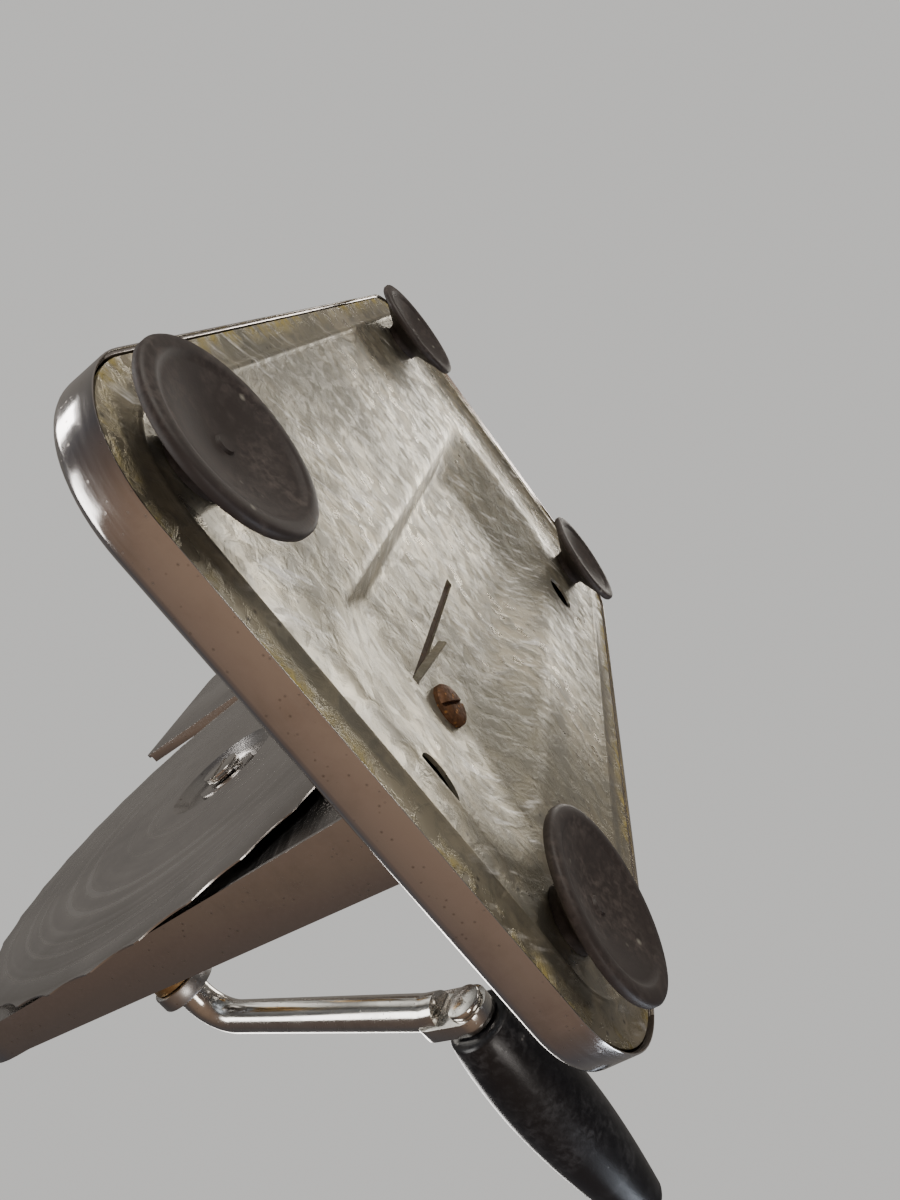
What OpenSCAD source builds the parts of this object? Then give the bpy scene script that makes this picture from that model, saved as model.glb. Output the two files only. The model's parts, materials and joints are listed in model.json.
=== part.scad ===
// Hand-crank food slicer: round blade on a sheet-metal upright, on a flat base with suction feet.
// +X is the crank side, -Y is the user's side, +Z is up. The origin is on the table, under the
// middle of the base.

/* [Base] */
// Width of the base, left to right
base_w = 178; // [160:1:220]
// Length of the base, front to back
base_l = 305; // [290:1:380]
// Corner radius of the base
base_r = 30.5; // [24:0.5:40]
// Height of the base shell's skirt
shell_h = 11.5; // [10:0.5:16]
// Sheet thickness of the base shell
shell_t = 1.2; // [1:0.1:1.6]
// Rounding of the shell's top edge
shell_edge_r = 3; // [2:0.5:4]
// Sheet thickness of the bottom plate
plate_t = 1; // [0.8:0.1:1.4]
// How far the bottom plate sits up inside the skirt
plate_inset = 0.8; // [0.4:0.1:1.4]
// Width of the pressed recess in the bottom plate
recess_w = 70; // [66:1:76]
// Length of the pressed recess in the bottom plate
recess_l = 231; // [215:1:234]
// Width of the recess's flat floor
floor_w = 46; // [40:1:52]
// Length of the recess's flat floor: its end walls slope gently
floor_l = 148; // [140:1:160]

/* [Feet] */
// Radius of a suction cup's rim
cup_r = 22; // [18:0.5:24]
// Height of the shell's lower edge over the table
foot_h = 10; // [9:0.5:14]
// Distance of the front feet from the feet's own centre line
front_foot_x = 62; // [56:1:64]
// Distance of the rear feet from the feet's own centre line
rear_foot_x = 60; // [56:1:64]
// Distance from the rear end of the base to the rear feet
rear_foot_inset = 25.2; // [24.5:0.1:30]
// Distance from the front end of the base to the front feet
front_foot_inset = 45.7; // [30:0.1:50]

/* [Blade] */
// Radius of the blade
blade_r = 89.4; // [80:0.1:92]
// Blade thickness
blade_t = 0.9; // [0.8:0.1:1.2]
// Number of scallops on the cutting edge
scallops = 36; // [24:1:48]
// Depth of a scallop
scallop_depth = 1.4; // [1:0.1:2]
// Radius of the pressed cup at the blade's centre
hub_cup_r = 20; // [16:0.5:21]
// Depth of the pressed cup at the blade's centre
hub_cup_depth = 3; // [2.5:0.1:3.2]
// Gap between the blade's edge and the base top
blade_gap = 3.2; // [2.6:0.1:8]
// Distance of the blade's axis behind the middle of the base
blade_y = 40; // [36:1:44]
// Radius of the blade's shaft
blade_shaft_r = 4; // [3.5:0.1:4.5]

/* [Gears] */
// Tooth size (pitch diameter divided by the number of teeth)
module_mm = 1.5; // [1.4:0.01:1.52]
// Teeth on the blade's pinion
pinion_teeth = 23; // [21:2:23]
// Teeth on the crank gear
gear_teeth = 46; // [42:2:46]
// Direction of the crank's axis from the blade's axis, degrees above level
gear_rise_angle = 37.4; // [34:0.1:38]
// Thickness of the gears
gear_t = 3.7; // [3:0.1:3.8]

/* [Upright] */
// Left face of the upright's front plate
upright_x = 12; // [11.8:0.1:12.6]
// Sheet thickness of the upright
upright_t = 1; // [0.8:0.1:1.2]
// Distance of the upright's rear edge behind the middle of the base, at the base
upright_rear_y = 122.8; // [122:0.1:126]
// Lean of the upright's rear edge towards the front, at the top
upright_lean = 2.6; // [0:0.1:4]
// Distance of the upright's front edge behind the middle of the base
upright_front_y = 8; // [4:1:12]
// Height of the upright over the base top
upright_h = 166.5; // [164:0.5:180]
// Depth of the upright's flange at the base
flange_low = 21.8; // [20:0.1:26]
// Depth of the upright's flange at the top
flange_high = 10.4; // [10.2:0.1:14]
// Thickness of the gear cover
cover_t = 1.2; // [1:0.1:1.5]

/* [Crank] */
// Radius of the crank's bent rod
rod_r = 4.75; // [4:0.05:5]
// Distance from the crank's axis to the handle's axis
crank_l = 92.7; // [80:0.1:100]
// Angle of the crank behind straight down, at rest
crank_rest = 17.3; // [0:0.1:30]
// Middle radius of the rod's bend
bend_r = 12; // [10:0.5:14]
// Distance from the middle plane of the machine to the rod's bend
arm_x = 64; // [58:0.5:70]
// Distance from the middle plane of the machine to the handle's seat on the arm
tab_x = 78.3; // [74:0.1:84]
// Length of the handle
handle_l = 77; // [60:1:90]
// Largest radius of the handle
handle_r = 12; // [10:0.1:14]
// Radius of the handle's pin
pin_r = 3; // [2.5:0.1:3.5]

/* [Thickness gauge] */
// Left face of the gauge plate when it is shut
gauge_x = 8.9; // [8.5:0.1:9.5]
// Sheet thickness of the gauge plate
gauge_t = 1.5; // [1.2:0.1:1.5]
// Height of the gauge plate's top over the base top
gauge_h = 185.5; // [150:0.5:195]
// Length of the gauge plate, front to back
gauge_l = 90; // [80:1:92]
// Gap between the blade's edge and the gauge plate
gauge_gap = 2.2; // [1.5:0.1:4]
// Width of the gauge plate's lower rear flange
gauge_flange = 17; // [12:0.5:20]
// Travel of the gauge plate, the thickest slice
gauge_travel = 12; // [6:1:12]
// Radius of the gauge's guide rods and of its screw
gauge_rod_r = 4; // [3.5:0.1:4.5]
// Radius of the gauge knob
knob_r = 15; // [12:0.5:18]

/* [Carriage] */
// Length of the food tray, front to back
tray_l = 94; // [80:1:96]
// Thickness of the tray's sheet
tray_t = 2; // [1.5:0.1:2.5]
// Height of the tray's top over the base top
tray_rise = 24; // [22:0.5:28]
// Height of the fence over the tray
fence_h = 80; // [70:1:90]
// Radius of the rail that the carriage slides on
rail_r = 4; // [3.5:0.1:5]
// Distance from the middle plane of the machine to the rail
rail_x = -62; // [-66:0.5:-58]
// Height of the rail's middle over the base top
rail_rise = 12; // [11:0.5:13]
// Travel of the pusher across the tray
pusher_travel = 52; // [40:1:53]

/* [Hidden] */
$fn = 64;
eps = 0.01;
run = 0.05;
slip = 0.3;
base_z = foot_h;
top_z = foot_h + shell_h;
plate_z = base_z + plate_inset;
recess_x = 10;
recess_y = 15.8;
floor_shift = [-5, 3];
recess_depth = shell_h - shell_t - plate_t - plate_inset;
recess_corner = 12;
foot_shift = -3.5;
foot_neck_r = 5;
FEET = [
    [foot_shift - rear_foot_x, base_l / 2 - rear_foot_inset],
    [foot_shift + rear_foot_x, base_l / 2 - rear_foot_inset],
    [foot_shift - front_foot_x, front_foot_inset - base_l / 2],
    [foot_shift + front_foot_x, front_foot_inset - base_l / 2],
];
screw_r = 2.4;
screw_head_r = 4.2;
foot_head_r = 6;
screw_head_h = 2.4;
bar_t = 4;
bar_x = upright_x + upright_t + run;
bar_y = 85;
bar_l = 50;
foot_screw = [upright_x + upright_t + 3.4, bar_y];
ear_screw = [12, upright_rear_y + 8.5];
ear_access_r = 6.2;
support_screw = [53.6, -64.6];
support_access_r = 7;
slot_x = 4.5;
slot_y = 20;
slot_l = 71;
slot_w = 2.4;
blade_z = top_z + blade_r + blade_gap;
gear_dist = module_mm * (pinion_teeth + gear_teeth) / 2;
crank_y = blade_y + gear_dist * cos(gear_rise_angle);
crank_z = blade_z + gear_dist * sin(gear_rise_angle);
plate_in = upright_x + upright_t;
well_r = hub_cup_r + 4.5;
well_depth = 2.8;
well_in = upright_x + well_depth + upright_t;
gear_x = well_in + 0.5;
cover_x = gear_x + gear_t + 0.6;
cover_out = cover_x + cover_t;
cover_gap = 0.2;
bar_w = cover_x - bar_x - cover_gap;
rim_x = gauge_x;
hub_x = rim_x + 0.6 + hub_cup_depth;
hub_stub_r = 3;
collar_t = 0.5;
bush_wall = 3;
bush_flange_r = 11;
bush_flange_t = 2.2;
blade_bush_l = 12;
crank_bush_l = 25;
post_r = 3.5;
post_screw_r = 1.5;
POSTS = [
    [104, top_z + 11],
    [24, top_z + 13],
    [crank_y + 28.9, crank_z - 41],
    [25, top_z + 146],
];
bend_steps = 6;
tab_w = 12.4;
tab_t = 4.2;
tab_from = 14;
rivet_r = 5;
rivet_h = 1.8;
pin_head_r = 5.4;
pin_head_h = 2.6;
handle_x = tab_x + rod_r + slip;
gauge_rear_y = blade_y - blade_r - gauge_gap;
gauge_front_y = gauge_rear_y - gauge_l;
gauge_z = top_z + 2.5;
gauge_top = top_z + gauge_h;
gauge_lip = 4.5;
gauge_lip_from = top_z + 154.5;
support_x = 44;
support_w = 17;
support_y = -119;
support_l = 62;
support_foot_t = 6;
column_l = 38;
column_h = 66;
guide_y = -92;
spindle_y = -110;
gauge_rods_z = [top_z + 28, top_z + 54];
spindle_z = top_z + 41;
carrier_t = 6;
knob_x = 70;
knob_t = 15;
knob_cap = 3;
tray_top = top_z + tray_rise;
tray_y = -base_l / 2 + 5;
tray_right = 6;
tray_left = -85;
rail_z = top_z + rail_rise;
rail_front = -base_l / 2 + 13;
rail_len = 246;
post_block_w = 16;
post_block_t = 9;
slider_l = 50;
slider_w = 18;
fence_t = 2;
arm_z = tray_top + fence_h - 8;
pusher_rod_r = 3.5;
pusher_rod_y = tray_y + 11;
pusher_block_w = 14;
pusher_x = -76;
pusher_plate_t = 2;
pusher_h = 58;
pusher_l = 68;

// A round bar along X.
module bar_along_x(r, h) rotate([0, 90, 0]) cylinder(r = r, h = h);
// A round bar along Y.
module bar_along_y(r, h) rotate([-90, 0, 0]) cylinder(r = r, h = h);
// A flat shape drawn as (Y, Z), given a thickness along X.
module sheet_yz(h) rotate([90, 0, 90]) linear_extrude(height = h) children();

function unit(v) = v / norm(v);
// The points of one rounded corner, on an outline set in by d.
function corner(p0, p1, p2, r, d, n) =
    let (e1 = unit(p1 - p0), e2 = unit(p2 - p1))
    let (half = acos(-e1 * e2) / 2, middle = unit(e2 - e1))
    let (centre = p1 + middle * max(r, d) / sin(half), left = max(r - d, 0))
    let (from = atan2(-e1[0], e1[1]), turn = 180 - 2 * half)
    left == 0 ? [centre]
              : [for (k = [0:n]) centre + left * [cos(from + turn * k / n), sin(from + turn * k / n)]];
// A convex outline, drawn anticlockwise, with a radius at each corner and set in by d.
function outline(p, r, d = 0, n = 12) =
    let (m = len(p))
    [for (i = [0:m - 1]) each corner(p[(i + m - 1) % m], p[i], p[(i + 1) % m], r[i], d, n)];
function box_points(w, l) = [[-w / 2, -l / 2], [w / 2, -l / 2], [w / 2, l / 2], [-w / 2, l / 2]];
function base_outline(d) = outline(box_points(base_w, base_l), [for (k = [0:3]) base_r], d);

// The base's flat block with its top edge rounded over.
module base_block() {
    hull()
        for (x = [-1, 1], y = [-1, 1])
            translate([x * (base_w / 2 - base_r), y * (base_l / 2 - base_r), base_z])
                rotate_extrude()
                    polygon(concat(
                        [[0, 0], [base_r, 0]],
                        [for (a = [0:22.5:90])
                            [base_r - shell_edge_r * (1 - cos(a)), shell_h - shell_edge_r * (1 - sin(a))]],
                        [[0, shell_h]]));
}

module base_shell() {
    color("gainsboro")
        difference() {
            base_block();
            translate([0, 0, base_z - 1])
                linear_extrude(height = shell_h - shell_t + 1) polygon(base_outline(shell_t));
            for (s = [foot_screw, ear_screw, support_screw])
                translate([s[0], s[1], top_z - 3]) cylinder(r = screw_r + run, h = 6);
        }
}

// The pressed recess's block: its walls lean in as it rises.
module recess_block(lift) {
    corners = [for (k = [0:3]) recess_corner];
    translate([recess_x, recess_y, 0])
        hull() {
            linear_extrude(height = lift + eps) polygon(outline(box_points(recess_w, recess_l), corners, 0, 5));
            translate([floor_shift[0], floor_shift[1], recess_depth + lift - eps])
                linear_extrude(height = eps) polygon(outline(box_points(floor_w, floor_l), corners, 0, 5));
        }
}

module bottom_plate() {
    color("silver")
        difference() {
            union() {
                translate([0, 0, plate_z])
                    linear_extrude(height = plate_t) polygon(base_outline(shell_t + cover_gap));
                translate([0, 0, plate_z]) recess_block(plate_t);
            }
            translate([0, 0, plate_z - eps]) recess_block(0);
            translate([0, 0, plate_z]) recess_block(0);
            for (f = FEET)
                translate([f[0], f[1], plate_z - 1]) cylinder(r = foot_neck_r + run, h = plate_t + 2);
            translate([foot_screw[0], foot_screw[1], plate_z]) cylinder(r = screw_r + run, h = 12);
            intersection() {
                translate([ear_screw[0], ear_screw[1], plate_z - 1]) cylinder(r = ear_access_r, h = 6);
                translate([0, 0, plate_z - 2]) cube([base_w / 2, recess_y + recess_l / 2, 8]);
            }
            translate([support_screw[0], support_screw[1], plate_z - 1])
                cylinder(r = support_access_r, h = 4);
            translate([slot_x - slot_w / 2, slot_y, plate_z]) cube([slot_w, slot_l, 12]);
        }
}

// A rubber suction cup: rim, cone and neck, with a bead that snaps in over the plate.
module foot(i) {
    neck_z = plate_z;
    bead_z = plate_z + plate_t + run;
    color("dimgray")
        translate([FEET[i][0], FEET[i][1], 0])
            rotate_extrude()
                polygon([
                    [0, 3.4], [9, 2.6], [cup_r - 5, 0.9], [cup_r - 2.8, 0], [cup_r - 0.8, 0],
                    [cup_r, 0.6], [cup_r, 2.2],
                    [cup_r - 2, 2.8], [cup_r - 4.5, 4], [11, 7], [8.2, 8.2], [8, neck_z - run],
                    [foot_neck_r, neck_z - run], [foot_neck_r, bead_z], [6.6, bead_z],
                    [5.6, bead_z + 3], [0, bead_z + 3.6],
                ]);
}

// A slotted pan-head screw, head down, with the underside of its head at z = 0.
module screw_up(l, head_r) {
    difference() {
        union() {
            translate([0, 0, -screw_head_h]) cylinder(r = head_r, h = screw_head_h);
            cylinder(r = screw_r, h = l);
        }
        translate([-head_r, -0.5, -screw_head_h - eps]) cube([2 * head_r, 1, 1.1]);
    }
}

module base_screws() {
    color("sienna") {
        translate([foot_screw[0], foot_screw[1], plate_z + recess_depth])
            screw_up(plate_t + shell_t + upright_t + bar_t + 1, foot_head_r);
        translate([ear_screw[0], ear_screw[1], top_z - shell_t]) screw_up(6, screw_head_r);
        translate([support_screw[0], support_screw[1], top_z - shell_t])
            screw_up(shell_t + support_foot_t + 2, screw_head_r);
    }
}

UPRIGHT = [
    [upright_front_y, top_z],
    [upright_rear_y, top_z],
    [upright_rear_y - upright_lean, top_z + upright_h],
    [upright_front_y + 6, top_z + upright_h],
];
UPRIGHT_R = [2, 2, 26, 32];

// Everything behind the upright flange's slanting rear edge.
module flange_cut() {
    fall = atan((flange_low - flange_high) / (upright_h - 26));
    translate([upright_x + flange_low, 0, top_z])
        rotate([0, -fall, 0]) translate([0, -50, -20]) cube([80, 300, 400]);
}

module upright_front() {
    color("gainsboro") {
        difference() {
            translate([upright_x, 0, 0]) sheet_yz(flange_low + 4) polygon(outline(UPRIGHT, UPRIGHT_R));
            translate([plate_in, 0, 0])
                sheet_yz(flange_low + 10) polygon(outline(UPRIGHT, UPRIGHT_R, upright_t));
            intersection() {
                flange_cut();
                translate([upright_x + flange_high + 0.4, -50, top_z]) cube([80, 300, 300]);
            }
            translate([upright_x - 1, blade_y, blade_z]) bar_along_x(well_r, 4);
            translate([foot_screw[0], foot_screw[1], top_z - 1]) cylinder(r = screw_r + run, h = 3);
        }
        difference() {
            translate([upright_x, blade_y, blade_z]) bar_along_x(well_r + upright_t, well_in - upright_x);
            translate([upright_x - 1, blade_y, blade_z]) bar_along_x(well_r, well_depth + 1);
            translate([upright_x, blade_y, blade_z]) bar_along_x(blade_shaft_r + bush_wall, 8);
        }
        difference() {
            translate([5, upright_rear_y - 1, top_z]) cube([18, 16, 1.5]);
            translate([ear_screw[0], ear_screw[1], top_z - 1]) cylinder(r = screw_r + run, h = 5);
        }
    }
}

// The tapped bar inside the upright's foot that the visible screw pulls down on.
module foot_bar() {
    color("darkgray")
        difference() {
            translate([bar_x, bar_y - bar_l / 2, top_z + upright_t]) cube([bar_w, bar_l, bar_t]);
            translate([foot_screw[0], foot_screw[1], top_z]) cylinder(r = screw_r + run, h = 12);
        }
}

module cover_posts() {
    color("darkgray")
        for (p = POSTS)
            difference() {
                translate([plate_in, p[0], p[1]]) bar_along_x(post_r, cover_x - plate_in);
                translate([plate_in + 2, p[0], p[1]]) bar_along_x(post_screw_r + run, 20);
            }
}

module gear_cover() {
    color("silver")
        difference() {
            translate([cover_x, 0, 0])
                sheet_yz(cover_t) polygon(outline(UPRIGHT, UPRIGHT_R, upright_t + cover_gap));
            translate([cover_x - 1, blade_y, blade_z]) bar_along_x(blade_shaft_r + bush_wall, 5);
            translate([cover_x - 1, crank_y, crank_z]) bar_along_x(rod_r + bush_wall, 5);
            for (p = POSTS) translate([cover_x - 1, p[0], p[1]]) bar_along_x(post_screw_r + run, 5);
        }
}

module cover_screws() {
    color("gray")
        for (p = POSTS)
            translate([cover_out, p[0], p[1]]) {
                difference() {
                    bar_along_x(3, 1.8);
                    translate([0.9, -3, -0.4]) cube([2, 6, 0.8]);
                }
                translate([-5, 0, 0]) bar_along_x(post_screw_r, 5);
            }
}

module front_bushing() {
    color("darkgoldenrod")
        translate([0, blade_y, blade_z])
            difference() {
                union() {
                    translate([well_in - upright_t, 0, 0]) bar_along_x(blade_shaft_r + bush_wall, 1.3);
                    translate([well_in - upright_t - 0.8, 0, 0]) bar_along_x(bush_flange_r, 0.8);
                }
                translate([upright_x, 0, 0]) bar_along_x(blade_shaft_r + run, 10);
            }
}

// A plain bearing through the gear cover, with a flange outside.
module cover_bushing(r, l) {
    color("darkgoldenrod")
        difference() {
            union() {
                translate([cover_x - 0.3, 0, 0]) bar_along_x(r + bush_wall, l);
                translate([cover_out, 0, 0]) bar_along_x(r + bush_wall + 4, bush_flange_t);
            }
            translate([cover_x - 1, 0, 0]) bar_along_x(r + run, l + 4);
        }
}

module rear_bushing() {
    translate([0, blade_y, blade_z]) cover_bushing(blade_shaft_r, blade_bush_l);
}

module crank_bushing() {
    translate([0, crank_y, crank_z]) cover_bushing(rod_r, crank_bush_l);
}

module blade_shaft() {
    color("silver")
        translate([0, blade_y, blade_z]) {
            translate([hub_x + blade_t, 0, 0])
                bar_along_x(blade_shaft_r, cover_x + blade_bush_l + 5 - hub_x - blade_t);
            translate([hub_x + blade_t, 0, 0]) bar_along_x(8, collar_t);
            difference() {
                translate([hub_x - 2, 0, 0]) bar_along_x(hub_stub_r, blade_t + 2);
                translate([hub_x - 3, 0, 0]) bar_along_x(post_screw_r + run, 5);
            }
        }
}

// A spur gear's outline: straight-flanked teeth, a little narrower than half the pitch.
function gear_points(n, m, at) =
    let (pitch_r = n * m / 2, half = 90 / n * 0.84)
    let (tip_r = pitch_r + 0.8 * m, root_r = pitch_r - 1.15 * m)
    let (tip = half * 0.56 * pitch_r / tip_r, root = half * 1.5 * pitch_r / root_r)
    [for (k = [0:n - 1], s = [[root_r, -root], [tip_r, -tip], [tip_r, tip], [root_r, root]])
        s[0] * [cos(at + 360 * k / n + s[1]), sin(at + 360 * k / n + s[1])]];

module blade_pinion() {
    color("darkgray")
        translate([gear_x, blade_y, blade_z])
            difference() {
                sheet_yz(gear_t)
                    polygon(gear_points(pinion_teeth, module_mm, gear_rise_angle + 180 / pinion_teeth));
                translate([-1, 0, 0]) bar_along_x(blade_shaft_r, gear_t + 2);
            }
}

module crank_gear() {
    color("darkgray")
        translate([0, crank_y, crank_z])
            difference() {
                union() {
                    translate([gear_x, 0, 0])
                        sheet_yz(gear_t) polygon(gear_points(gear_teeth, module_mm, gear_rise_angle + 180));
                    translate([plate_in + 0.8, 0, 0]) bar_along_x(9, gear_x - plate_in);
                }
                translate([upright_x, 0, 0]) bar_along_x(rod_r, 20);
            }
}

module blade() {
    scallop_half = blade_r * sin(180 / scallops);
    scallop_r = (pow(scallop_half, 2) + pow(scallop_depth, 2)) / (2 * scallop_depth);
    cup_floor_r = hub_cup_r - 3.5;
    color("silver")
        translate([0, blade_y, blade_z])
            difference() {
                rotate([0, 90, 0])
                    rotate_extrude($fn = 180)
                        polygon([
                            [hub_stub_r + run, hub_x], [cup_floor_r, hub_x], [hub_cup_r, rim_x + 0.6],
                            [blade_r - 7, rim_x], [blade_r, rim_x + blade_t - 0.3],
                            [blade_r, rim_x + blade_t], [hub_cup_r, rim_x + blade_t + 0.6],
                            [cup_floor_r, hub_x + blade_t], [hub_stub_r + run, hub_x + blade_t],
                        ]);
                for (k = [0:scallops - 1])
                    rotate([360 * (k + 0.5) / scallops, 0, 0])
                        translate([0, 0, blade_r - scallop_depth + scallop_r])
                            translate([rim_x - 2, 0, 0]) bar_along_x(scallop_r, blade_t + 4);
            }
}

module blade_washer() {
    color("silver")
        translate([hub_x - 1.2, blade_y, blade_z])
            difference() {
                bar_along_x(10.5, 1.2);
                translate([-1, 0, 0]) bar_along_x(hub_stub_r + run, 4);
            }
}

module blade_screw() {
    color("gainsboro")
        translate([hub_x - 2, blade_y, blade_z]) {
            difference() {
                translate([-2.2, 0, 0]) bar_along_x(6.5, 2.2);
                translate([-2.3, -7, -0.7]) cube([1.3, 14, 1.4]);
            }
            bar_along_x(post_screw_r, 2 + blade_t - slip);
        }
}

module shaft_nut() {
    color("gray")
        translate([cover_x + blade_bush_l, blade_y, blade_z])
            difference() {
                bar_along_x(7, 3.4);
                translate([-1, 0, 0]) bar_along_x(blade_shaft_r, 6);
            }
}

// The crank is drawn with its arm straight down, then turned to its rest angle.
module at_crank() {
    translate([0, crank_y, crank_z]) rotate([crank_rest, 0, 0]) children();
}

// The rod's bend, from +X down to the arm: short straight lengths with a ball at each turn.
module rod_bend(turn) {
    step = turn / bend_steps;
    length = 2 * bend_r * sin(step / 2);
    for (k = [0:bend_steps - 1])
        rotate([0, step * (k + 0.5), 0])
            translate([-length / 2, 0, bend_r * cos(step / 2)]) bar_along_x(rod_r, length);
    for (k = [0:bend_steps])
        rotate([0, step * k, 0]) translate([0, 0, bend_r]) sphere(r = rod_r + run);
}

module crank_arm() {
    knee = crank_l - tab_from;
    slant = atan((tab_x - arm_x) / knee);
    turn = 90 - slant;
    tangent = bend_r * tan(turn / 2);
    straight = knee / cos(slant) - tangent;
    color("lightgray")
        at_crank()
            difference() {
                union() {
                    translate([plate_in + 0.8, 0, 0]) bar_along_x(rod_r, arm_x - tangent - plate_in - 0.8);
                    translate([arm_x - tangent, 0, -bend_r]) rod_bend(turn);
                    translate([tab_x, 0, -knee])
                        rotate([0, -slant, 0]) cylinder(r = rod_r, h = straight);
                    translate([tab_x, 0, -knee]) sphere(r = rod_r + run);
                    translate([tab_x, 0, -knee - 5]) cylinder(r = rod_r, h = 5);
                    translate([tab_x, 0, -crank_l]) bar_along_x(tab_w / 2, tab_t);
                    translate([tab_x, -tab_w / 2, -crank_l]) cube([tab_t, tab_w, tab_from - 3]);
                }
                translate([tab_x - 3, 0, -crank_l]) bar_along_x(pin_r, 12);
                translate([tab_x - 12, -10, -crank_l - 10]) cube([12, 20, 10 + tab_from - 4]);
            }
}

module crank_collar() {
    color("darkgray")
        at_crank()
            translate([cover_x + crank_bush_l, 0, 0])
                difference() {
                    bar_along_x(rod_r + 4, 5);
                    translate([-1, 0, 0]) bar_along_x(rod_r, 8);
                }
}

module handle_pin() {
    color("gray")
        at_crank()
            translate([0, 0, -crank_l]) {
                translate([tab_x - rivet_h, 0, 0]) bar_along_x(rivet_r, rivet_h);
                translate([tab_x, 0, 0]) bar_along_x(pin_r, handle_x + handle_l - tab_x - 3.5);
                translate([handle_x + handle_l - 3.5, 0, 0]) bar_along_x(pin_head_r, pin_head_h);
            }
}

// The half-width of the handle along its length, from the arm to the far end.
function handle_half(u) = handle_r * (0.78 + 0.22 * sin(180 * pow(u, 0.8)) - 0.16 * pow(u, 3));

module crank_handle() {
    steps = 14;
    end_r = 3;
    color("#1c1c1e")
        at_crank()
            translate([handle_x, 0, -crank_l])
                rotate([0, 90, 0])
                    difference() {
                        rotate_extrude()
                            polygon(concat(
                                [[0, 0], [handle_half(0) - 1, 0]],
                                [for (k = [0:steps])
                                    [handle_half(k / steps), 1 + k / steps * (handle_l - end_r - 1)]],
                                [for (a = [30:30:90])
                                    [handle_half(1) - end_r * (1 - cos(a)), handle_l - end_r * (1 - sin(a))]],
                                [[0, handle_l]]));
                        translate([0, 0, -1]) cylinder(r = pin_r + run, h = handle_l + 2);
                        translate([0, 0, handle_l - 3.8]) cylinder(r = pin_head_r + slip, h = 5);
                    }
}

module gauge_plate() {
    tall = gauge_top - gauge_z;
    lip_r = 3;
    color("gainsboro")
        difference() {
            union() {
                translate([gauge_x, (gauge_rear_y + gauge_front_y) / 2, gauge_z + tall / 2])
                    sheet_yz(gauge_t) polygon(outline(box_points(gauge_l, tall), [2, 2, 2.5, 14]));
                translate([gauge_x, gauge_rear_y - gauge_t, gauge_z]) {
                    cube([gauge_lip, gauge_t, tall - 2.5]);
                    cube([gauge_flange, gauge_t, gauge_lip_from - gauge_z]);
                }
                translate([gauge_x + gauge_lip, gauge_rear_y - gauge_t, gauge_lip_from])
                    cube([lip_r, gauge_t, lip_r]);
            }
            translate([gauge_x + gauge_lip + lip_r, gauge_rear_y - gauge_t - 1, gauge_lip_from + lip_r])
                bar_along_y(lip_r, gauge_t + 2);
        }
}

// The block welded to the back of the gauge plate that holds its two guide rods.
module gauge_carrier() {
    color("darkgray")
        difference() {
            translate([gauge_x + gauge_t, support_y, gauge_rods_z[0] - 10])
                cube([carrier_t, column_l, gauge_rods_z[1] - gauge_rods_z[0] + 20]);
            for (z = gauge_rods_z)
                translate([gauge_x, guide_y, z]) bar_along_x(gauge_rod_r, 20);
            translate([gauge_x, spindle_y, spindle_z]) bar_along_x(gauge_rod_r + run, 20);
        }
}

module gauge_rods() {
    color("silver")
        for (z = gauge_rods_z)
            translate([gauge_x + gauge_t, guide_y, z]) bar_along_x(gauge_rod_r, support_x + support_w);
}

module gauge_support() {
    color("darkgray")
        difference() {
            union() {
                translate([support_x, support_y, top_z]) cube([support_w, support_l, support_foot_t]);
                translate([support_x, support_y, top_z]) cube([support_w, column_l, column_h]);
            }
            for (z = gauge_rods_z)
                translate([support_x - 1, guide_y, z]) bar_along_x(gauge_rod_r + run, support_w + 2);
            translate([support_x - 1, spindle_y, spindle_z])
                bar_along_x(gauge_rod_r + run, support_w + 2);
            translate([support_screw[0], support_screw[1], top_z - 1]) cylinder(r = screw_r + run, h = 20);
        }
}

// The screw's thread is drawn plain, at its outer radius.
module gauge_spindle() {
    color("silver")
        translate([0, spindle_y, spindle_z]) {
            translate([gauge_x + gauge_t + 0.2, 0, 0])
                bar_along_x(gauge_rod_r, knob_x + knob_t - knob_cap - gauge_x - gauge_t - slip);
            translate([gauge_x + gauge_t + carrier_t + 0.2, 0, 0]) bar_along_x(gauge_rod_r + 2.5, 2);
        }
}

module gauge_knob() {
    grips = 12;
    color("#1c1c1e")
        translate([knob_x, spindle_y, spindle_z])
            difference() {
                union() {
                    bar_along_x(knob_r, knob_t);
                    translate([-3, 0, 0]) bar_along_x(gauge_rod_r + 3.5, 3);
                }
                translate([-4, 0, 0]) bar_along_x(gauge_rod_r, knob_t + 4 - knob_cap);
                for (k = [0:grips - 1])
                    rotate([360 * k / grips, 0, 0])
                        translate([-1, 0, knob_r + 1.2]) bar_along_x(2.4, knob_t + 2);
            }
}

module carriage_rail() {
    color("silver") translate([rail_x, rail_front, rail_z]) bar_along_y(rail_r, rail_len);
}

module rail_posts() {
    color("darkgray")
        for (y = [rail_front, rail_front + rail_len - post_block_t])
            difference() {
                translate([rail_x - post_block_w / 2, y, top_z])
                    cube([post_block_w, post_block_t, rail_rise + rail_r + 3]);
                translate([rail_x, y - 1, rail_z]) bar_along_y(rail_r, post_block_t + 2);
            }
}

// Grub screws that hold the rail in its posts.
module rail_screws() {
    color("gray")
        for (y = [rail_front, rail_front + rail_len - post_block_t])
            translate([rail_x, y + post_block_t / 2, rail_z + rail_r + 3]) cylinder(r = 3, h = 1.6);
}

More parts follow.
